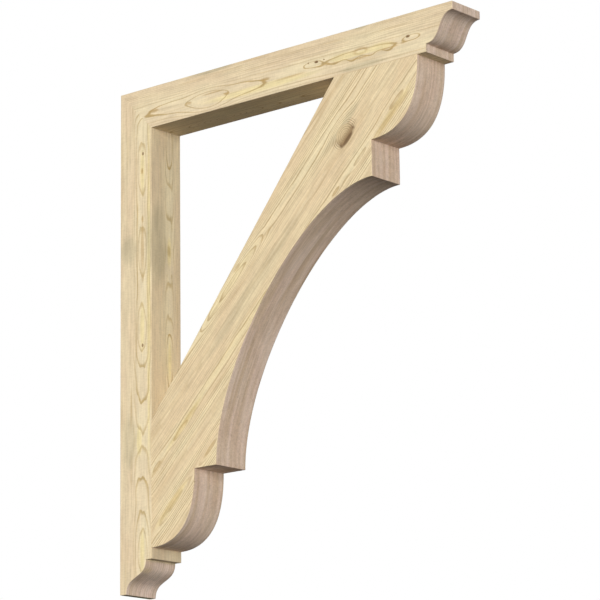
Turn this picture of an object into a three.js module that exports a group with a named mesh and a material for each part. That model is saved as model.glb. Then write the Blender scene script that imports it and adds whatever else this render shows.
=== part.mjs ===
// Timber corbel bracket for a wall: an upright post and a level arm, mitred together at the top,
// with a broad knee brace sawn to a scrolled outline between them.
// Millimetres, +Z up. The origin is the centre of the post's back face, which goes on the wall;
// +X points out along the arm, and Y runs across the width.

import * as THREE from "three";

const INCH = 25.4;

// Driving dimensions of the whole bracket.
const WIDTH = 4 * INCH;
const PROJECTION = 40 * INCH;
const HEIGHT = 48 * INCH;
const TIMBER_DEPTH = 4 * INCH;

// The ogee that ends the arm, and, turned about the mitre line, the foot of the post.
const NOSE_FILLET = 0.75 * INCH;
const OGEE_RUN = 3 * INCH;
const OGEE_RISE = 2.5 * INCH;
const OGEE_FULLNESS = 0.61;

// The brace fills this rectangle below the arm and in front of the post.
// Its scrolled edge is set out in shares of the rectangle's two sides.
const BRACE_REACH = PROJECTION - 2 * TIMBER_DEPTH;
const BRACE_DROP = HEIGHT - 2 * TIMBER_DEPTH;
const LOBE = 1 / 6;
const STEP = 1 / 12;
const ARCH = 1 - 2 * LOBE - STEP;
const BACK_EDGE = 0.2964;
const LOBE_FULLNESS = 2 / 3;
const ARCH_FULLNESS = 0.413;

const CURVE_STEPS = 28;

const TOP = HEIGHT / 2;
const BOTTOM = -HEIGHT / 2;
const ARM_UNDERSIDE = TOP - TIMBER_DEPTH;
const BRACE_FOOT = ARM_UNDERSIDE - BRACE_DROP;

const sawnPine = { roughness: 0.8, metalness: 0 };
const postPine = new THREE.MeshStandardMaterial({ color: 0xe2cfa5, ...sawnPine });
const armPine = new THREE.MeshStandardMaterial({ color: 0xe0cba0, ...sawnPine });
const bracePine = new THREE.MeshStandardMaterial({ color: 0xddc9a0, ...sawnPine });

// A side outline, drawn with X out from the wall and Y up, becomes a timber of the full width.
function timber(name, outline, material) {
  const geometry = new THREE.ExtrudeGeometry(outline, {
    depth: WIDTH,
    bevelEnabled: false,
    curveSegments: CURVE_STEPS,
  });
  geometry.rotateX(Math.PI / 2);
  geometry.translate(0, WIDTH / 2, 0);
  const mesh = new THREE.Mesh(geometry, material);
  mesh.name = name;
  return mesh;
}

// The arm: its wall end is the mitre, and its tip steps back under an upright nose by an ogee
// that leaves the nose level and meets the lower fillet level.
function armOutline() {
  const noseBottom = TOP - NOSE_FILLET;
  const filletX = PROJECTION - OGEE_RUN;
  const filletTop = noseBottom - OGEE_RISE;
  const pull = OGEE_FULLNESS * OGEE_RUN;
  const outline = new THREE.Shape();
  outline.moveTo(0, TOP);
  outline.lineTo(TIMBER_DEPTH, ARM_UNDERSIDE);
  outline.lineTo(filletX, ARM_UNDERSIDE);
  outline.lineTo(filletX, filletTop);
  outline.bezierCurveTo(
    filletX + pull, filletTop,
    PROJECTION - pull, noseBottom,
    PROJECTION, noseBottom,
  );
  outline.lineTo(PROJECTION, TOP);
  outline.closePath();
  return outline;
}

// The post: the same timber turned about the mitre line and longer, its foot against the wall.
function postOutline() {
  const filletZ = BOTTOM + OGEE_RUN;
  const filletX = NOSE_FILLET + OGEE_RISE;
  const pull = OGEE_FULLNESS * OGEE_RUN;
  const outline = new THREE.Shape();
  outline.moveTo(0, TOP);
  outline.lineTo(0, BOTTOM);
  outline.lineTo(NOSE_FILLET, BOTTOM);
  outline.bezierCurveTo(
    NOSE_FILLET, BOTTOM + pull,
    filletX, filletZ - pull,
    filletX, filletZ,
  );
  outline.lineTo(TIMBER_DEPTH, filletZ);
  outline.lineTo(TIMBER_DEPTH, ARM_UNDERSIDE);
  outline.closePath();
  return outline;
}

// The brace: a rounded lobe below the arm, a square step, a long arch, a second square step,
// and a rounded lobe down to the post. The straight back edge closes the open triangle.
function braceOutline() {
  const across = (share) => TIMBER_DEPTH + share * BRACE_REACH;
  const up = (share) => BRACE_FOOT + share * BRACE_DROP;
  const lobePull = LOBE * LOBE_FULLNESS;
  const archPull = ARCH * ARCH_FULLNESS;
  const archEndX = LOBE + STEP;
  const archTop = LOBE + ARCH;
  const lobeInnerX = 1 - LOBE;
  const outline = new THREE.Shape();
  outline.moveTo(across(0), up(0));
  outline.bezierCurveTo(
    across(lobePull), up(0),
    across(LOBE), up(LOBE - lobePull),
    across(LOBE), up(LOBE),
  );
  outline.lineTo(across(archEndX), up(LOBE));
  outline.bezierCurveTo(
    across(archEndX), up(LOBE + archPull),
    across(lobeInnerX - archPull), up(archTop),
    across(lobeInnerX), up(archTop),
  );
  outline.lineTo(across(lobeInnerX), up(1 - LOBE));
  outline.bezierCurveTo(
    across(lobeInnerX + lobePull), up(1 - LOBE),
    across(1), up(1 - lobePull),
    across(1), up(1),
  );
  outline.lineTo(across(1 - BACK_EDGE), up(1));
  outline.lineTo(across(0), up(BACK_EDGE));
  outline.closePath();
  return outline;
}

const bracket = new THREE.Group();
bracket.add(timber("wall_post", postOutline(), postPine));
bracket.add(timber("top_arm", armOutline(), armPine));
bracket.add(timber("knee_brace", braceOutline(), bracePine));

export default bracket;
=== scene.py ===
import bpy
import numpy as np
from mathutils import Matrix, Vector


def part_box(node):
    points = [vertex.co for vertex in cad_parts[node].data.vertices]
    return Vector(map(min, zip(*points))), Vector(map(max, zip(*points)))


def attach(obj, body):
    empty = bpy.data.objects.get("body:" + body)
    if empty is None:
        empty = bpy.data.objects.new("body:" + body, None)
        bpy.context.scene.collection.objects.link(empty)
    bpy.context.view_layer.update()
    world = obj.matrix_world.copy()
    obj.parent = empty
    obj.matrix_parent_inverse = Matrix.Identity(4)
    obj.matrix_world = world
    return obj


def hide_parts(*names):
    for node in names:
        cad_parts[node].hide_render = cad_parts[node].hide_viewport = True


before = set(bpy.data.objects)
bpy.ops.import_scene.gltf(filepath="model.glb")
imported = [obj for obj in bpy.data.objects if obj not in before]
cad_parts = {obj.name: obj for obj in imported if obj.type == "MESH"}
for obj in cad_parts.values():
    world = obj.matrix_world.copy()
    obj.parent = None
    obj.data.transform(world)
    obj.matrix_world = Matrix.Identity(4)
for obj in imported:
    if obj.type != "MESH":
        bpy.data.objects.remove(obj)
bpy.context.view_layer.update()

# Wall post.
# An upright softwood timber, rough-sawn on its four sides and left bare, its back flat on the wall.
# The head is cut to a mitre for the arm, and the foot is band-sawn to an ogee between two fillets.

post_low, post_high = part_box("wall_post")
timber_depth = post_high.x
half_width = post_high.y
top = post_high.z
post_length = post_high.z - post_low.z

inch = 0.0254
fillet = 0.75 * inch
ogee_run = 3 * inch
ogee_rise = 2.5 * inch
ogee_fullness = 0.61
arris = 0.0011  # radius of the rounded long edges
arris_points = 3  # points on each of them, between its two ends
arris_wear = 0.3  # how far the radius comes and goes, as a share of it
eased_corner = 0.0008  # how far from a corner of the scroll its easing starts
corner_points = 4  # points between that start and the same distance past the corner
sawn_hollow = 0.005  # the most that the saw has hollowed a side face, as a share of the half width
scroll_spacing = 0.0026
sharp_angle = 40
mm = 1000  # in a metre


def curve(a, b, c, d, steps=240):
    """A cubic curve from a to d, which leaves a towards b and reaches d from c: the four points
    weighted by the terms of ((1 - t) + t) cubed, as t goes from nought to one."""
    t = np.linspace(0, 1, steps)[:, None]
    a, b, c, d = (np.array(p, float) for p in (a, b, c, d))
    return (1 - t) ** 3 * a + 3 * t * (1 - t) ** 2 * b + 3 * t**2 * (1 - t) * c + t**3 * d


def line(a, b):
    """The straight run from a to b."""
    return np.array([a, b], float)


def rails(strokes, shares, start, end, spacing, ease):
    """The scrolled rail of a timber and the straight rail facing it, point for point.
    Each stroke is walked in equal steps of about the spacing. Where one stroke turns into the
    next, the corner is a small parabola between points one ease before and after it. The straight
    rail runs from start to end, and shares says how far along it each stroke ends."""
    scroll, share = [strokes[0][:1]], [[0.0]]
    begin = 0.0
    for number, (stroke, finish) in enumerate(zip(strokes, shares)):
        walked = np.append(0, np.cumsum(np.hypot(*np.diff(stroke, axis=0).T)))
        reach = walked[-1]
        first = ease if number else 0.0
        last = ease if number < len(strokes) - 1 else 0.0
        steps = max(2, int(round((reach - first - last) / spacing)))
        stops = np.linspace(first, reach - last, steps + 1)
        points = np.stack([np.interp(stops, walked, stroke[:, k]) for k in (0, 1)], -1)
        places = begin + (finish - begin) * stops / reach
        if number:
            before, corner, after = scroll[-1][-1], stroke[0], points[0]
            t = np.linspace(0, 1, corner_points + 2)[1:-1, None]
            scroll.append((1 - t) ** 2 * before + 2 * t * (1 - t) * corner + t**2 * after)
            came, goes = share[-1][-1], places[0]
            share.append(came + (goes - came) * t[:, 0])
        else:
            points, places = points[1:], places[1:]
        scroll.append(points)
        share.append(places)
        begin = finish
    scroll = np.concatenate(scroll)
    share = np.concatenate(share)[:, None]
    start, end = np.array(start, float), np.array(end, float)
    return scroll, start + (end - start) * share


def mitred_rails(length):
    """Both rails of a timber whose head is mitred and whose far end is an ogee. Distances run along
    the outer face from the mitre's point, and in from the outer face. The lines from rail to rail
    lean back at the step, so that none leaves the timber or crosses the next."""
    step = length - ogee_run
    deep = fillet + ogee_rise
    pull = ogee_fullness * ogee_run
    strokes = [
        line((timber_depth, timber_depth), (step, timber_depth)),
        line((step, timber_depth), (step, deep)),
        curve((step, deep), (step + pull, deep), (length - pull, fillet), (length, fillet)),
    ]
    lean_before, lean_after = 0.016, 0.0005
    shares = ((step - lean_before) / length, (step - lean_after) / length, 1.0)
    return rails(strokes, shares, (0, 0), (length, 0), scroll_spacing, eased_corner)


def waver(along, across):
    """A slow unevenness between about -1 and 1: the sum of five sine waves, each given as its size,
    its lengths along and across over two pi, in mm, and where it starts."""
    return sum(
        size * np.sin(along / length + across / slant + start)
        for size, length, slant, start in (
            (0.38, 61, 27, 1.3),
            (0.26, 33.7, -18, 4.1),
            (0.18, 17.9, 11.3, 0.4),
            (0.11, 9.1, -6.7, 2.2),
            (0.07, 5.3, 4.1, 5.0),
        )
    )


def hollowed(place, wide):
    """Points from their places in the side view and across the width, after the saw: the width
    shrinks by the sawn hollow times half of one plus the waver of the place."""
    hollow = sawn_hollow * (0.5 + 0.5 * waver(place[..., 0] * mm, place[..., 1] * mm))
    return np.stack([place[..., 0], wide * (1 - hollow), place[..., 1]], -1).reshape(-1, 3)


def section(across, through):
    """Once round a timber's section: the near side face, the scrolled face, the far side face and
    the straight face, with an arris after each. The four rows are the share of the way from rail to
    rail, the share of the half width, and the steps on from there in arris radii, each way."""
    turn = np.radians(np.linspace(0, 90, arris_points + 2)[1:-1])
    none, one = np.zeros(arris_points), np.ones(arris_points)
    side, edge = np.linspace(0, 1, across + 1), np.linspace(-1, 1, through + 1)
    flat, thick = np.ones(across + 1), np.ones(through + 1)
    return np.concatenate([
        np.stack([side, -flat, 0 * flat, -flat]),
        np.stack([one, -one, np.sin(turn), -np.cos(turn)]),
        np.stack([thick, edge, thick, 0 * thick]),
        np.stack([one, one, np.cos(turn), np.sin(turn)]),
        np.stack([side[::-1], flat, 0 * flat, flat]),
        np.stack([none, one, -np.sin(turn), np.cos(turn)]),
        np.stack([0 * thick, -edge, -thick, 0 * thick]),
        np.stack([none, -one, -np.cos(turn), -np.sin(turn)]),
    ], axis=1)


def end_faces(rim, grid):
    """The faces that close one end, from the points once round its section (the rim) and the grid
    of points inside it: the grid's own squares, a strip out to each flat side, and a fan of
    triangles from each corner of the grid to its arris."""
    across, through = grid.shape[0] - 1, grid.shape[1] - 1
    near_at = 0
    front_at = near_at + across + 1 + arris_points
    far_at = front_at + through + 1 + arris_points
    back_at = far_at + across + 1 + arris_points
    near = rim[near_at:near_at + across + 1]
    front = rim[front_at:front_at + through + 1]
    far = rim[far_at:far_at + across + 1][::-1]
    back = rim[back_at:back_at + through + 1][::-1]
    strips = (
        (grid[:-1, :-1], grid[1:, :-1], grid[1:, 1:], grid[:-1, 1:]),
        (near[:-1], near[1:], grid[1:, 0], grid[:-1, 0]),
        (grid[-1, :-1], front[:-1], front[1:], grid[-1, 1:]),
        (grid[:-1, -1], grid[1:, -1], far[1:], far[:-1]),
        (back[:-1], grid[0, :-1], grid[0, 1:], back[1:]),
    )
    squares = np.concatenate([np.stack([c.ravel() for c in strip], -1) for strip in strips])
    fans = []
    for corner, flat_end in (
        (grid[-1, 0], near_at + across),
        (grid[-1, -1], front_at + through),
        (grid[0, -1], far_at + across),
        (grid[0, 0], back_at + through),
    ):
        arc = rim[(flat_end + np.arange(arris_points + 2)) % len(rim)]
        fans.append(np.stack([np.full(arris_points + 1, corner), arc[:-1], arc[1:]], -1))
    return squares, np.concatenate(fans)


def solid_piece(name, points, squares, triangles):
    """One object from its points and faces, shaded smooth, with every edge past the sharp angle
    left crisp."""
    corners = np.concatenate([squares.ravel(), triangles.ravel()])
    square_starts = np.arange(len(squares)) * 4
    triangle_starts = len(squares) * 4 + np.arange(len(triangles)) * 3
    starts = np.concatenate([square_starts, triangle_starts])
    mesh = bpy.data.meshes.new(name)
    mesh.vertices.add(len(points))
    mesh.vertices.foreach_set("co", points.ravel())
    mesh.loops.add(len(corners))
    mesh.loops.foreach_set("vertex_index", corners.astype(np.int32))
    mesh.polygons.add(len(starts))
    mesh.polygons.foreach_set("loop_start", starts.astype(np.int32))
    mesh.update(calc_edges=True)
    mesh.validate()
    mesh.polygons.foreach_set("use_smooth", np.ones(len(mesh.polygons), bool))
    mesh.set_sharp_from_angle(angle=np.radians(sharp_angle))
    piece = bpy.data.objects.new(name, mesh)
    bpy.context.scene.collection.objects.link(piece)
    return piece


def sawn_timber(name, scroll, straight, across, through, blunt_end=None):
    """A closed timber. Each station is the line from the straight rail to the scrolled rail,
    carried across the width, and its section is that rectangle with its four arrises rounded to
    quarter circles. A cap of the same rectangle closes each end, and a blunt end is drawn in a
    little first, also by a quarter circle. across and through are the number of faces from rail to
    rail and across the width. The arrises are worn unevenly, each in its own way."""
    loop = section(across, through)
    reach = np.hypot(*(scroll - straight).T)
    inset = np.zeros(len(scroll))
    if blunt_end:
        turn = np.radians([0, 30, 60, 90])
        onward = (arris * (np.sin(turn) - 1))[:, None] * np.array(blunt_end, float)
        scroll = np.concatenate([scroll[:-1], scroll[-1] + onward])
        straight = np.concatenate([straight[:-1], straight[-1] + onward])
        reach = np.append(reach[:-1], np.full(len(turn), reach[-1]))
        inset = np.append(inset[:-1], arris * (1 - np.cos(turn)))
    reach, inset = reach[:, None], inset[:, None]
    ruling = (scroll - straight) / reach
    run = np.append(0, np.cumsum(np.hypot(*np.diff(scroll, axis=0).T)))[:, None] * mm
    worn = arris * (1 + arris_wear * waver(run * 3, 40 * loop[1] + 25 * loop[0]))
    way = worn + loop[0] * (reach - 2 * worn) + loop[2] * worn
    way = inset + way * (reach - 2 * inset) / reach
    wide = (loop[1] * (half_width - worn) + loop[3] * worn) * (1 - inset / half_width)
    points = [hollowed(straight[:, None] + way[..., None] * ruling[:, None], wide)]

    stations, around = way.shape
    row = np.arange(stations * around).reshape(stations, around)
    here, ahead = row[:-1], row[1:]
    sides = np.stack([here, np.roll(here, -1, 1), np.roll(ahead, -1, 1), ahead], -1)
    squares, triangles = [sides.reshape(-1, 4)], []
    for station, outward in ((0, False), (stations - 1, True)):
        far_rail, drawn_in = reach[station], inset[station]
        way = arris + np.linspace(0, 1, across + 1)[:, None] * (far_rail - 2 * arris)
        way = drawn_in + way * (far_rail - 2 * drawn_in) / far_rail
        wide = np.linspace(-1, 1, through + 1) * (half_width - arris) * (1 - drawn_in / half_width)
        way, wide = np.broadcast_arrays(way, wide)
        grid = sum(len(p) for p in points) + np.arange(way.size).reshape(way.shape)
        points.append(hollowed(straight[station] + way[..., None] * ruling[station], wide))
        end_squares, fans = end_faces(row[station], grid)
        squares.append(end_squares if outward else end_squares[:, ::-1])
        triangles.append(fans if outward else fans[:, ::-1])
    points, squares, triangles = (np.concatenate(p) for p in (points, squares, triangles))
    # The first square lies on the near side face, which looks towards -Y.
    corner, following, _, previous = points[squares[0]]
    if np.cross(following - corner, previous - corner)[1] > 0:
        squares, triangles = squares[:, ::-1], triangles[:, ::-1]
    return solid_piece(name, points, squares, triangles)


scroll, straight = mitred_rails(post_length)
post = sawn_timber(
    "sawn_post",
    np.stack([scroll[:, 1], top - scroll[:, 0]], -1),
    np.stack([straight[:, 1], top - straight[:, 0]], -1),
    across=40, through=34, blunt_end=(0, -1),
)


def in_mm(piece):
    """Where each point of a piece lies, in mm: out from the wall, in from the near side face, and
    down from the top."""
    points = np.empty(len(piece.data.vertices) * 3, np.float32)
    piece.data.vertices.foreach_get("co", points)
    out, side, height = points.reshape(-1, 3).T.astype(float) * mm
    return out, side + half_width * mm, top * mm - height


def keep(piece, **fields):
    """Stores one number for each point under each name, for the material to read."""
    for name, values in fields.items():
        layer = piece.data.attributes.new(name, "FLOAT", "POINT")
        layer.data.foreach_set("value", np.asarray(values, np.float32))


def bell(at, middle, reach):
    """One at the middle, falling to 1/e one reach away: e to minus the square of the distance
    over the reach."""
    return np.exp(-(((at - middle) / reach) ** 2))


def lens(at, middle, half):
    """One at the middle and nought from the half length on: the square of one less the squared
    distance over the half length. Rings lifted by it close in ovals with pointed ends."""
    return np.clip(1 - ((at - middle) / half) ** 2, 0, None) ** 2


def swell(at, places, lifts):
    """Goes from each lift to the next between their places by the S curve 3tt - 2ttt."""
    places, lifts = np.array(places, float), np.array(lifts, float)
    number = np.clip(np.searchsorted(places, at) - 1, 0, len(places) - 2)
    t = np.clip((at - places[number]) / (places[number + 1] - places[number]), 0, 1)
    return lifts[number] + (lifts[number + 1] - lifts[number]) * t * t * (3 - 2 * t)


def to_side_faces(from_heart, from_side):
    """One towards the side faces and nought towards the other two, seen from the heart: the square
    of the cosine of the turn round the heart."""
    return from_side**2 / (from_heart**2 + from_side**2)


def flat_sawn(from_heart, from_side, reach):
    """One where a sawn face runs along the rings, nought where it cuts them square: a bell of the
    distance from the heart's foot on that face, shared between the side faces and the other two."""
    other_reach = 1.4 * reach
    side_face = to_side_faces(from_heart, from_side)
    on_side_faces, on_others = bell(from_heart, 0, reach), bell(from_side, 0, other_reach)
    return on_side_faces * side_face + on_others * (1 - side_face)


def follow_the_cut(ring, carved, side):
    """On a scrolled face the lines keep to the cut, about three times as far apart: the ring count
    there is this share of the distance in from the side face."""
    rings_per_mm = 0.35
    return np.where(carved > 0, rings_per_mm * side, ring)


def between_arrises(side):
    """True on the faces that run across the width, from 1 mm inside one side face to the other."""
    skin = 1
    return (side > skin) * (side < 2 * half_width * mm - skin)


def spots(along, across, places):
    """How much each point belongs to a patch: one up to three quarters of the way to its rim, and
    nought from a quarter beyond it. Each patch is an ellipse, given as its place along and across,
    its half length and its half width, in mm."""
    edge, fall = 1.25, 0.5
    amount = np.zeros_like(along)
    for along_at, across_at, half_length, half_breadth in places:
        share = np.hypot((along - along_at) / half_length, (across - across_at) / half_breadth)
        amount = np.maximum(amount, np.clip((edge - share) / fall, 0, 1))
    return amount


knot_taper = 60  # mm below the face at which a knot has shrunk to nothing
no_knot = 3.0  # the distance given where no knot is near, in knot radii


def knots(along, across, depth, places):
    """Distance to the nearest knot, as a share of its radius: one at its rim. A knot tapers away
    below the face. Its ellipse is given as for spots."""
    nearest = np.full_like(along, no_knot)
    for along_at, across_at, half_length, half_breadth in places:
        share = np.hypot((along - along_at) / half_length, (across - across_at) / half_breadth)
        nearest = np.minimum(nearest, share + depth / knot_taper)
    return nearest


# The post's grain, in mm. The rings are counted out from the heart of the tree, which lies inside
# the timber, and are flatter towards the side faces. The lift at each place down the post is how
# far they rise there into a point, or dip into an oval. The inner face shows the same run further
# up.
near_face_depth = 25
inner_face_from = 85
ring_unevenness = 0.3
faintest_line, cut_line = 0.3, 0.9
out, side, down = in_mm(post)
heart_out, heart_side = 72, 63
from_heart, from_side = out - heart_out, side - heart_side
side_face = to_side_faces(from_heart, from_side)
ring_flatness = 0.38
from_heart = from_heart * (1 - ring_flatness * side_face)
swells = (
    (40, 95, 205, 300, 398, 495, 590, 725, 795, 858, 921, 991, 1125, 1219),
    (3.2, 0.3, -1.4, 0.2, -1.4, 0.2, -1.4, 1.7, 3.2, 4.7, 3.2, 1.7, -1.4, 0.3),
)
further_up = 460
lift = swell(down, *swells) * side_face + swell(down + further_up, *swells) * (1 - side_face)
oval_reach, point_reach, clear_reach = 18, 36, 16
ring_shift = 0.02
ring = (
    np.hypot(from_heart, from_side) + ring_shift
    + lift * np.where(
        lift < 0,
        flat_sawn(from_heart, from_side, oval_reach),
        flat_sawn(from_heart, from_side, point_reach),
    )
    + ring_unevenness * waver(down, 3 * out + 2 * side)
)
clear = faintest_line + (1 - faintest_line) * flat_sawn(from_heart, from_side, clear_reach)
near, inner = side < near_face_depth, out > inner_face_from
ogee_from, below_step, fades_over = (post_length - ogee_run) * mm, 2, 2
carved = (
    np.clip((down - ogee_from - below_step) / fades_over, 0, 1)
    * (out > 0.99 * fillet * mm) * between_arrises(side)
)
keep(
    post,
    ring=follow_the_cut(ring, carved, 0.6 * side + 2 * waver(down * 0.6, out)),
    clear=np.where(carved > 0, cut_line, clear),
    carved=carved,
    resin=near * spots(down, out, (
        (398, 72, 62, 5), (205, 71, 8, 3), (325, 73, 10, 3), (470, 73, 10, 3), (785, 36, 45, 1.8),
        (925, 36, 38, 1.8), (395, 55, 150, 1.6), (620, 54, 60, 1.5), (205, 54, 60, 1.4),
    )),
    gold=(
        near * spots(down, out, (
            (860, 62, 34, 8), (205, 72, 55, 7), (590, 72, 55, 7), (500, 93, 420, 5),
            (1125, 72, 50, 7),
        ))
        + inner * spots(down, side, ((400, 62, 34, 7), (665, 63, 50, 6)))
    ),
    stain=(
        near * spots(down, out, ((860, 30, 60, 22), (395, 28, 34, 26)))
        + inner * spots(down, side, ((385, 24, 95, 30),))
    ),
    knot=knots(down, out, side, ((162, 74, 4.5, 3), (633, 73, 4.5, 3))),
    knot_shade=near * 1.0,
)


def node(tree, kind, inputs=(), **settings):
    """Adds a shader node, with its settings, and gives each input its value or its link."""
    made = tree.nodes.new("ShaderNode" + kind)
    for name, value in settings.items():
        setattr(made, name, value)
    for name, value in dict(inputs).items():
        if isinstance(value, bpy.types.NodeSocket):
            tree.links.new(value, made.inputs[name])
        else:
            made.inputs[name].default_value = value
    return made


def calc(tree, operation, *values):
    """One arithmetic step on one, two or three values."""
    return node(tree, "Math", enumerate(values), operation=operation).outputs[0]


def times(tree, one, other):
    """The product of two values."""
    return calc(tree, "MULTIPLY", one, other)


def plus(tree, one, other):
    """The sum of two values."""
    return calc(tree, "ADD", one, other)


def fade(tree, value, low, high, start=0.0, end=1.0):
    """Goes from start to end by an S curve as the value goes from low to high."""
    inputs = {"Value": value, "From Min": low, "From Max": high, "To Min": start, "To Max": end}
    return node(tree, "MapRange", inputs, interpolation_type="SMOOTHSTEP").outputs[0]


def mixed(tree, share, one, other, blend="MIX"):
    """The first colour, taken towards the other by the share."""
    inputs = {0: share, 6: one, 7: other}
    return node(tree, "Mix", inputs, data_type="RGBA", blend_type=blend).outputs[2]


def clouds(tree, place, stretch, detail=2.0):
    """Soft noise, its grains per metre given along the fibres, across them and through them."""
    sized = node(tree, "Mapping", {"Vector": place, "Scale": stretch}).outputs[0]
    return node(tree, "TexNoise", {"Vector": sized, "Scale": 1.0, "Detail": detail}).outputs[0]


# Bare softwood, for all three timbers. Along runs in metres, its first axis with the fibres.
sawn_softwood = bpy.data.node_groups.new("sawn_softwood", "ShaderNodeTree")
for name, kind, value in (
    ("Ring", "Float", 0.0),
    ("Ring width", "Float", 1.25),
    ("Line start", "Float", 0.7),
    ("Clear", "Float", 0.5),
    ("Carved", "Float", 0.0),
    ("Resin", "Float", 0.0),
    ("Gold", "Float", 0.0),
    ("Stain", "Float", 0.0),
    ("Knot", "Float", 3.0),
    ("Knot shade", "Float", 0.0),
    ("Knot edge", "Float", 0.0),
    ("Knot hairs", "Float", 0.0),
    ("Along", "Vector", (0, 0, 0)),
    ("Early wood", "Color", (0.808, 0.684, 0.446, 1)),
    ("Pink wood", "Color", (0.745, 0.587, 0.392, 1)),
    ("Late wood", "Color", (0.44, 0.29, 0.11, 1)),
):
    made = sawn_softwood.interface.new_socket(
        name, in_out="INPUT", socket_type="NodeSocket" + kind
    )
    made.default_value = value
for name, kind in (("Color", "Color"), ("Roughness", "Float"), ("Height", "Float")):
    sawn_softwood.interface.new_socket(name, in_out="OUTPUT", socket_type="NodeSocket" + kind)
t = sawn_softwood
given = t.nodes.new("NodeGroupInput").outputs
along = given["Along"]
early_wood, pink_wood, late_wood = given["Early wood"], given["Pink wood"], given["Late wood"]
gold_wood = (0.83, 0.69, 0.35, 1)
resin_brown = (0.48, 0.315, 0.12, 1)
grey_stain = (0.44, 0.385, 0.24, 1)
knot_pale = (0.70, 0.55, 0.32, 1)
knot_dark = (0.36, 0.24, 0.12, 1)
knot_line = (0.30, 0.19, 0.09, 1)
bark_dark = (0.20, 0.12, 0.055, 1)
# The band-sawn faces are the same wood times one of these two, greyer and pinker.
cut_dark = (0.86, 0.775, 0.85, 1)
cut_pale = (1.10, 1.045, 1.33, 1)
gold_strength, line_strength, cut_hides = 0.7, 0.95, 0.45
line_gloss, line_relief, fibre_relief, fuzz_relief = 0.12, 0.5, 0.7, 0.5

# Noises, from the broadest to the finest.
mottle = clouds(t, along, (7, 24, 24))
patches = clouds(t, along, (22, 95, 95), 3.0)
streaks = clouds(t, along, (6, 170, 170), 4.0)
hairlines = clouds(t, along, (8, 330, 330))
fuzz = clouds(t, along, (420, 110, 110), 3.0)
fibres = clouds(t, along, (45, 1100, 1100), 3.0)

# Rings. Each one darkens slowly to its late wood, which ends at once, and some years are darker
# than others. Inside a knot the rings are the knot's own.
ring_straying, knot_rings = 0.5, 6.5
knotty = fade(t, given["Knot"], 1.0, 0.9)
strayed = calc(t, "MULTIPLY_ADD", clouds(t, along, (9, 70, 70)), ring_straying, given["Ring"])
ring_at = plus(
    t,
    times(t, strayed, calc(t, "SUBTRACT", 1.0, knotty)),
    times(t, times(t, given["Knot"], knot_rings), knotty),
)
turn = calc(t, "DIVIDE", ring_at, given["Ring width"])
within = calc(t, "FRACT", turn)
year = node(t, "TexWhiteNoise", {"W": calc(t, "FLOOR", turn)}, noise_dimensions="1D").outputs[0]
rising = fade(t, within, times(t, given["Clear"], given["Line start"]), 0.9)
falling = fade(t, within, 1.0, 0.93)
line_here = times(t, times(t, rising, falling), fade(t, year, 0.0, 1.0, start=0.6))
latewood = times(t, line_here, given["Clear"])

# The clean wood: early wood gone pinker in places, golden patches, rings and darker streaks.
plain = fade(t, given["Clear"], 0.9, 0.3, end=0.4)
pinker = plus(t, fade(t, mottle, 0.35, 0.65, end=0.5), plain)
color = mixed(t, pinker, early_wood, pink_wood)
color = mixed(t, times(t, given["Gold"], gold_strength), color, gold_wood)
uncut = calc(t, "MULTIPLY_ADD", given["Carved"], -cut_hides, 1.0)
color = mixed(t, times(t, times(t, latewood, line_strength), uncut), color, late_wood)
color = mixed(t, times(t, fade(t, streaks, 0.5, 0.78, end=0.3), uncut), color, late_wood)

# Resin, stains, and knots with their dark rims and hair cracks.
resin_here = times(t, given["Resin"], fade(t, streaks, 0.3, 0.7, start=0.4, end=0.9))
color = mixed(t, resin_here, color, resin_brown)
stain_here = times(t, given["Stain"], fade(t, mottle, 0.3, 0.7, start=0.3, end=0.6))
color = mixed(t, stain_here, color, grey_stain)
knot_tone = mixed(t, given["Knot shade"], knot_pale, knot_dark)
knot_tone = mixed(t, times(t, line_here, 0.55), knot_tone, knot_line)
color = mixed(t, knotty, color, knot_tone)
rim = times(t, fade(t, given["Knot"], 0.86, 1.0), fade(t, given["Knot"], 1.14, 1.02))
rim = times(t, rim, fade(t, given["Knot shade"], 0.0, 1.0, start=0.12, end=0.4))
hair_turn = times(t, calc(t, "MULTIPLY_ADD", mottle, 0.3, given["Knot"]), 6.0)
hairs = fade(t, calc(t, "PINGPONG", hair_turn, 0.5), 0.3, 0.48)
hairs = times(t, hairs, fade(t, given["Knot hairs"], 0.05, 0.4, end=0.8))
knot_edge = fade(t, given["Knot edge"], 0.15, 1.0, end=0.95)
dark = calc(t, "MAXIMUM", calc(t, "MAXIMUM", rim, hairs), knot_edge)
color = mixed(t, dark, color, bark_dark)

# The band-sawn faces, in long bands that keep to the cut.
reach_along = node(t, "SeparateXYZ", {0: along}).outputs["X"]
drift = {0: times(t, given["Ring"], 0.24), 1: times(t, reach_along, 3.0)}
band = clouds(t, node(t, "CombineXYZ", drift).outputs[0], (1, 1, 1))
carved_tone = mixed(t, fade(t, band, 0.3, 0.7), cut_dark, cut_pale)
color = mixed(t, given["Carved"], color, mixed(t, 1.0, color, carved_tone, "MULTIPLY"))

# Light and dark from the torn fibres, a few hundredths each way.
shade = plus(
    t,
    fade(t, fuzz, 0.25, 0.75, start=0.95, end=1.05),
    fade(t, fibres, 0.25, 0.75, start=-0.06, end=0.06),
)
shade = plus(t, shade, fade(t, hairlines, 0.3, 0.7, start=0.06, end=-0.06))
shade = plus(t, shade, fade(t, patches, 0.25, 0.75, start=-0.06, end=0.06))
grey = node(t, "CombineColor", {0: shade, 1: shade, 2: shade}).outputs[0]
color = mixed(t, 1.0, color, grey, "MULTIPLY")

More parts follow.
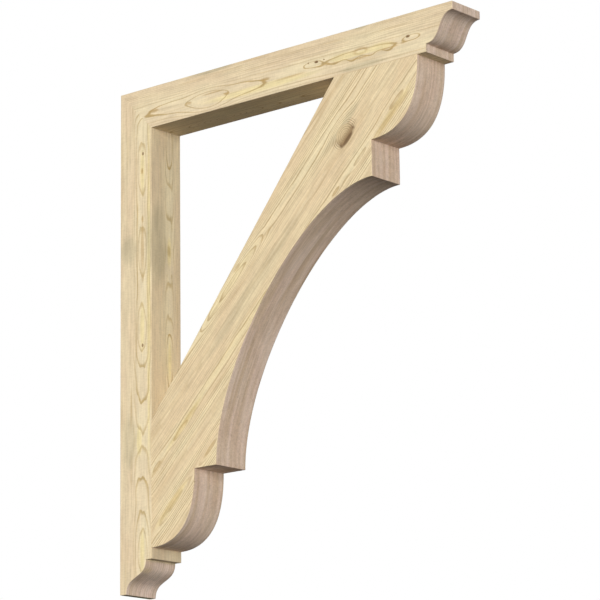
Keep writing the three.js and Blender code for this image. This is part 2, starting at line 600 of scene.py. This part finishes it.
# The torn fibres are rougher, and the late wood is smoother and stands up a little.
roughness = fade(t, fibres, 0.2, 0.8, start=0.78, end=0.92)
roughness = calc(t, "SUBTRACT", roughness, times(t, latewood, line_gloss))
height = plus(t, times(t, latewood, line_relief), times(t, fibres, fibre_relief))
height = calc(t, "MULTIPLY_ADD", fuzz, fuzz_relief, height)
results = t.nodes.new("NodeGroupOutput").inputs
t.links.new(color, results["Color"])
t.links.new(roughness, results["Roughness"])
t.links.new(height, results["Height"])


def bare_timber(name, grain_slope, seed, tones):
    """A bare sawn timber's material. The grain slope turns the pattern so that its first axis lies
    along the fibres, and the seed shifts it to another part of the tree. The other inputs are the
    tones given and the numbers kept with the piece."""
    bump_depth, bump_strength = 0.0005, 0.6
    kept = (
        "Ring", "Clear", "Carved", "Resin", "Gold", "Stain",
        "Knot", "Knot shade", "Knot edge", "Knot hairs",
    )
    material = bpy.data.materials.new(name)
    material.use_nodes = True
    t = material.node_tree
    shader = t.nodes["Principled BSDF"]
    turned = node(t, "Mapping", {
        "Vector": node(t, "TexCoord").outputs["Object"],
        "Rotation": (0, np.radians(grain_slope), 0),
        "Location": seed,
    })
    inputs = {"Along": turned.outputs[0], **tones}
    for field in kept:
        layer = field.lower().replace(" ", "_")
        inputs[field] = node(t, "Attribute", attribute_name=layer).outputs["Fac"]
    wood = node(t, "Group", inputs, node_tree=sawn_softwood).outputs
    grain = node(t, "Bump", {
        "Height": wood["Height"], "Distance": bump_depth, "Strength": bump_strength,
    })
    t.links.new(wood["Color"], shader.inputs["Base Color"])
    t.links.new(wood["Roughness"], shader.inputs["Roughness"])
    t.links.new(grain.outputs["Normal"], shader.inputs["Normal"])
    return material


post.data.materials.append(bare_timber("post_softwood", 90, (0, 0, 0), {
    "Ring width": 1.5,
    "Late wood": (0.50, 0.355, 0.145, 1),
}))
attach(post, "root")
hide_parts("wall_post")

# Top arm.
# The level timber that carries the load, of the same stock as the post and mitred to its head.
# Its tip is sawn to the same ogee, under an upright nose.

arm_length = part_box("top_arm")[1].x
scroll, straight = mitred_rails(arm_length)
arm = sawn_timber(
    "sawn_arm",
    np.stack([scroll[:, 0], top - scroll[:, 1]], -1),
    np.stack([straight[:, 0], top - straight[:, 1]], -1),
    across=40, through=34, blunt_end=(1, 0),
)

# The arm's grain, in mm, counted out from a heart that wanders up and down the timber. One long
# oval and one patch with a wavy lower edge have their places along it, and a small oval lies round
# each of two knots.
out, side, down = in_mm(arm)
heart_down, heart_side = 71, 63
oval_at, patch_at = 285, 755
wandered = (
    down
    + 7 * (1 - bell(out, oval_at, 110)) * bell(out, oval_at, 330)
    + 5 * bell(out, oval_at, 62) * bell(down, 42, 20)
    - 6 * bell(out, oval_at, 80) * bell(down, 94, 14)
    - 15 * bell(out, patch_at, 46) * bell(down, 4, 28)
)
from_heart, from_side = wandered - heart_down, side - heart_side
ring_shift, patch_middle = -0.9, 61
wavy_edge = 10 - 3 * np.cos((out - patch_at) / 8.4)
patch_reach = np.where(down > patch_middle, wavy_edge, 11)
ring = (
    np.hypot(from_heart, from_side) + ring_shift
    + 3.2 * (1 - lens(out, 280, 245)) * flat_sawn(from_heart, from_side, 22)
    - 2.2 * lens(out, oval_at, 88) * flat_sawn(from_heart, from_side, 26)
    - 1.9 * lens(out, patch_at, 170) * bell(down, patch_middle, patch_reach)
    - 2.2 * (lens(out, 610, 38) + lens(out, 900, 38)) * bell(down, 56, 7)
    + ring_unevenness * waver(out, 3 * down + 2 * side)
)
faintest_line = 0.42
clear = (
    faintest_line
    + 0.6 * flat_sawn(from_heart, from_side, 25)
    + 0.5 * bell(out, patch_at, 80) * bell(down, 22, 24)
)
near = side < near_face_depth
ogee_from, before_step, fades_over = (arm_length - ogee_run) * mm, 0.5, 0.4
carved = np.clip((out - ogee_from + before_step) / fades_over, 0, 1) * between_arrises(side)
carved = carved * (down > 1)
resin_rim = spots(out, down, ((753, 57, 21, 8),)) - spots(out, down, ((753, 58, 14, 4.5),))
keep(
    arm,
    ring=follow_the_cut(ring, carved, side + 2 * waver(out * 0.6, down)),
    clear=np.where(carved > 0, cut_line, np.clip(clear, 0, 1)),
    carved=carved,
    resin=near * spots(out, down, (
        (110, 62, 15, 4), (465, 61, 15, 4), (225, 68, 9, 3), (345, 69, 9, 3), (300, 58, 30, 2),
        (540, 72, 60, 1.5), (670, 68, 22, 1.6), (838, 68, 22, 1.6), (755, 74, 34, 1.5),
    )) + near * resin_rim,
    gold=near * spots(out, down, (
        (702, 60, 40, 9), (808, 60, 40, 9), (755, 62, 50, 5), (450, 78, 160, 8),
    )),
    stain=near * spots(out, down, ((755, 0, 20, 6), (300, 2, 60, 6), (755, 92, 60, 7))),
    knot=knots(out, down, side, (
        (622, 54, 6, 3.2), (890, 54, 6, 3.2), (598, 52, 3, 2), (645, 53, 3, 2),
    )),
    knot_shade=near * 1.0,
    knot_edge=near * spots(out, down, ((623, 55, 4.5, 2.6), (889, 55, 4.5, 2.6))),
)
arm.data.materials.append(bare_timber("arm_softwood", 0, (3, 0, 0), {
    "Ring width": 2.5,
    "Line start": 0.84,
    "Late wood": (0.47, 0.32, 0.125, 1),
}))
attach(arm, "root")
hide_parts("top_arm")

# Knee brace.
# One broad board of the full width, butted under the arm and against the post.
# Its front edge is band-sawn to a scroll: a lobe, a square step, a long arch, a step and a lobe.

brace_low, brace_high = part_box("knee_brace")
brace_reach = brace_high.x - brace_low.x
brace_drop = brace_high.z - brace_low.z
lobe, step = 1 / 6, 1 / 12
arch = 1 - 2 * lobe - step
back_edge = 0.2964
lobe_pull = lobe * 2 / 3
arch_fullness = 0.413
arch_pull = arch * arch_fullness
brace_spacing = 0.0038


def on_brace(across, up):
    """A point given as shares of the brace's reach and drop from its foot."""
    return brace_low.x + across * brace_reach, brace_low.z + up * brace_drop


lower_step = on_brace(lobe, lobe)
arch_foot = on_brace(lobe + step, lobe)
arch_head = on_brace(1 - lobe, lobe + arch)
upper_step = on_brace(1 - lobe, 1 - lobe)
strokes = [
    curve(on_brace(0, 0), on_brace(lobe_pull, 0), on_brace(lobe, lobe - lobe_pull), lower_step),
    line(lower_step, arch_foot),
    curve(
        arch_foot, on_brace(lobe + step, lobe + arch_pull),
        on_brace(1 - lobe - arch_pull, lobe + arch), arch_head,
    ),
    line(arch_head, upper_step),
    curve(
        upper_step, on_brace(1 - lobe + lobe_pull, 1 - lobe),
        on_brace(1, 1 - lobe_pull), on_brace(1, 1),
    ),
]
shares = (0.10, 0.14, 0.80, 0.86, 1.0)  # how far up the back edge each stroke's rulings end
back_low, back_high = on_brace(0, back_edge), on_brace(1 - back_edge, 1)
scroll, straight = rails(strokes, shares, back_low, back_high, brace_spacing, eased_corner)
brace = sawn_timber("sawn_brace", scroll, straight, across=80, through=20)

# The brace's grain, in mm up the board's slope from its foot and outward across it. The rings lie
# nearly flat in the board and rise and fall across it, so its lines run with the slope. They bend
# round the large knot and close in ovals at the places given.
out, side, down = in_mm(brace)
from_foot_out = out - brace_low.x * mm
from_foot_up = (top - brace_low.z) * mm - down
upward = (from_foot_out + from_foot_up) / np.sqrt(2)
outward = (from_foot_out - from_foot_up) / np.sqrt(2)
rings_rise, rings_repeat, rings_shift = 4.0, 109, 17
knot_up, knot_out = 1043, -192
over_knot = bell(upward, knot_up, 42)
bent = (
    outward
    + 15 * over_knot * bell(outward, -216, 24)
    - 9 * over_knot * bell(outward, -160, 18)
)
ring = (
    side
    + rings_rise * (1 - np.cos(2 * np.pi * (bent + rings_shift) / rings_repeat))
    - 2.3 * lens(upward, 118, 100) * bell(outward, -17, 13)
    - 2.2 * lens(upward, 285, 70) * bell(outward, -17, 12)
    - 1.5 * lens(upward, 255, 60) * bell(outward, -117, 9)
    - 1.2 * lens(upward, 142, 42) * bell(outward, -118, 7)
    - 3.4 * np.sqrt(lens(upward, 600, 150)) * bell(outward, -234, 24)
    - 1.4 * lens(upward, 1032, 62) * bell(outward, -115, 8)
    - 1.5 * lens(upward, 1185, 58) * bell(outward, -115, 9)
    - 1.1 * lens(upward, 932, 30) * bell(outward, -122, 6)
    + ring_unevenness * waver(upward, 2 * outward + 2 * side)
)
lined = (
    bell(outward, -128, 13) + bell(outward, -93, 9) + bell(outward, -38, 4)
    + bell(outward, 4, 22) + bell(outward, -238, 22)
    + bell(upward, knot_up, 70) * bell(outward, -232, 26)
)
faintest_line, cut_line = 0.22, 0.8
clear = faintest_line + (1 - faintest_line) * np.clip(lined, 0, 1)

# The large knot is an ellipse up the slope, wider on its inner side and squarer on its outer side.
# Its distance is one at the rim.
outer_side = outward > knot_out
knot_half_length, knot_outer_half, knot_inner_half = 29, 15.5, 25
knot_along = (upward - knot_up) / knot_half_length
knot_across = (outward - knot_out) / np.where(outer_side, knot_outer_half, knot_inner_half)
knot = (knot_along**2 + np.abs(knot_across) ** np.where(outer_side, 3, 2)) ** 0.5
knot = np.minimum(knot, no_knot) + side / knot_taper

brace_near_depth = 30
near = side < brace_near_depth
above_back_edge = from_foot_up - brace_drop * mm * (
    back_edge + from_foot_out / (brace_reach * mm)
)
carved = between_arrises(side) * (above_back_edge < -1.0)
keep(
    brace,
    ring=follow_the_cut(ring, carved, side + 4 * waver(upward * 0.4, outward * 0.5)),
    clear=np.where(carved > 0, cut_line, clear),
    carved=carved,
    gold=near * (
        0.35 * spots(upward, outward, ((590, -128, 300, 10), (600, -236, 120, 10)))
        + 0.8 * spots(upward, outward, (
            (112, -22, 70, 9), (272, -123, 74, 8), (1160, -112, 70, 9),
        ))
    ),
    resin=near * 0.7 * spots(upward, outward, (
        (272, -123, 62, 6), (142, -118, 30, 5), (1150, -111, 58, 6), (1196, -106, 24, 5),
        (932, -122, 16, 4), (275, -17, 28, 5), (112, -23, 54, 6), (632, -247, 13, 5),
        (740, -229, 26, 4),
    )),
    stain=near * 0.6 * spots(upward, outward, (
        (1000, -212, 34, 9), (1088, -212, 34, 9), (620, -175, 200, 16),
    )),
    knot=knot,
    knot_shade=near * np.clip((knot_across + 0.45) / 0.9, 0, 1),
    knot_edge=near * (
        1.8 * bell(knot_across, 0.9, 0.3) * bell(knot_along, -0.1, 0.7)
        + 0.9 * bell(knot_across, 0.5, 0.35) * bell(np.abs(knot_along), 0.9, 0.16)
    ),
    knot_hairs=near * bell(np.abs(knot_along), 1.05, 0.3) * bell(knot_across, 0.0, 0.6),
)
brace.data.materials.append(bare_timber("brace_softwood", 45, (7, 0, 0), {
    "Ring width": 1.2,
    "Line start": 0.6,
    "Early wood": (0.82, 0.685, 0.43, 1),
    "Pink wood": (0.77, 0.60, 0.375, 1),
    "Late wood": (0.38, 0.24, 0.085, 1),
}))
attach(brace, "root")
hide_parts("knee_brace")

# Floor, light and camera.
# A plain pale floor well below the bracket, a soft key lamp just above and to the left of the
# camera, a softer one behind, and a faint dome of light that the camera sees as white.

scene = bpy.context.scene
scene.view_settings.view_transform = "Standard"

# The camera is placed by one point of the bracket: how far off it is, and where in the frame.
image_width = 600
focal_px = 2881.03
azimuth, elevation, roll = np.radians([40.507, -13.559, -0.749])
anchor = np.array([0.4064, 0.0, 0.1016])
anchor_px = (262.174, 274.065)
anchor_distance = 65.558 * 2 * half_width
back_way = np.array([
    np.sin(azimuth) * np.cos(elevation),
    -np.cos(azimuth) * np.cos(elevation),
    np.sin(elevation),
])
level_right = np.array([np.cos(azimuth), np.sin(azimuth), 0.0])
level_up = np.cross(back_way, level_right)
right = np.cos(roll) * level_right + np.sin(roll) * level_up
up = -np.sin(roll) * level_right + np.cos(roll) * level_up
per_px = anchor_distance / focal_px
place = (
    anchor + back_way * anchor_distance
    - right * (anchor_px[0] - image_width / 2) * per_px
    + up * (anchor_px[1] - image_width / 2) * per_px
)
camera_data = bpy.data.cameras.new("camera")
camera_data.lens = focal_px * camera_data.sensor_width / image_width
camera_data.clip_end = 200
camera = bpy.data.objects.new("camera", camera_data)
camera.matrix_world = Matrix((
    (right[0], up[0], back_way[0], place[0]),
    (right[1], up[1], back_way[1], place[1]),
    (right[2], up[2], back_way[2], place[2]),
    (0, 0, 0, 1),
))
scene.collection.objects.link(camera)
scene.camera = camera

dome_below, dome_above = (0.02, 0.02, 0.02, 1), (0.22, 0.22, 0.22, 1)
white = (1, 1, 1, 1)
world = bpy.data.worlds.new("studio")
scene.world = world
world.use_nodes = True
t = world.node_tree
sky_height = node(t, "SeparateXYZ", {0: node(t, "TexCoord").outputs["Generated"]}).outputs["Z"]
dome = mixed(t, fade(t, sky_height, -0.15, 0.15), dome_below, dome_above)
seen = node(t, "LightPath").outputs["Is Camera Ray"]
t.links.new(mixed(t, seen, dome, white), t.nodes["Background"].inputs["Color"])


def soft_lamp(name, toward, strength, spread):
    """A wide, distant studio lamp that shines from the direction given."""
    lamp = bpy.data.lights.new(name, "SUN")
    lamp.energy = strength
    lamp.angle = np.radians(spread)
    holder = bpy.data.objects.new(name, lamp)
    holder.rotation_euler = Vector(toward).to_track_quat("Z", "Y").to_euler()
    scene.collection.objects.link(holder)


soft_lamp("key", toward=(0.59, -0.93, -0.035), strength=3.4, spread=34)
soft_lamp("rear_fill", toward=(-0.5, 0.75, 0.35), strength=2.4, spread=40)

floor_level, floor_reach = -3.3, 60
floor_mesh = bpy.data.meshes.new("floor")
floor_mesh.from_pydata([
    (-floor_reach, -floor_reach, floor_level),
    (floor_reach, -floor_reach, floor_level),
    (floor_reach, floor_reach, floor_level),
    (-floor_reach, floor_reach, floor_level),
], [], [(0, 1, 2, 3)])
floor = bpy.data.objects.new("floor", floor_mesh)
scene.collection.objects.link(floor)
floor.visible_diffuse = False
floor.visible_glossy = False
floor.visible_shadow = False
pale = bpy.data.materials.new("pale_floor")
pale.use_nodes = True
pale_shader = pale.node_tree.nodes["Principled BSDF"].inputs
pale_shader["Base Color"].default_value = (0.86, 0.86, 0.85, 1)
pale_shader["Roughness"].default_value = 0.9
pale_shader["Emission Color"].default_value = white
pale_shader["Emission Strength"].default_value = 0.3
floor_mesh.materials.append(pale)
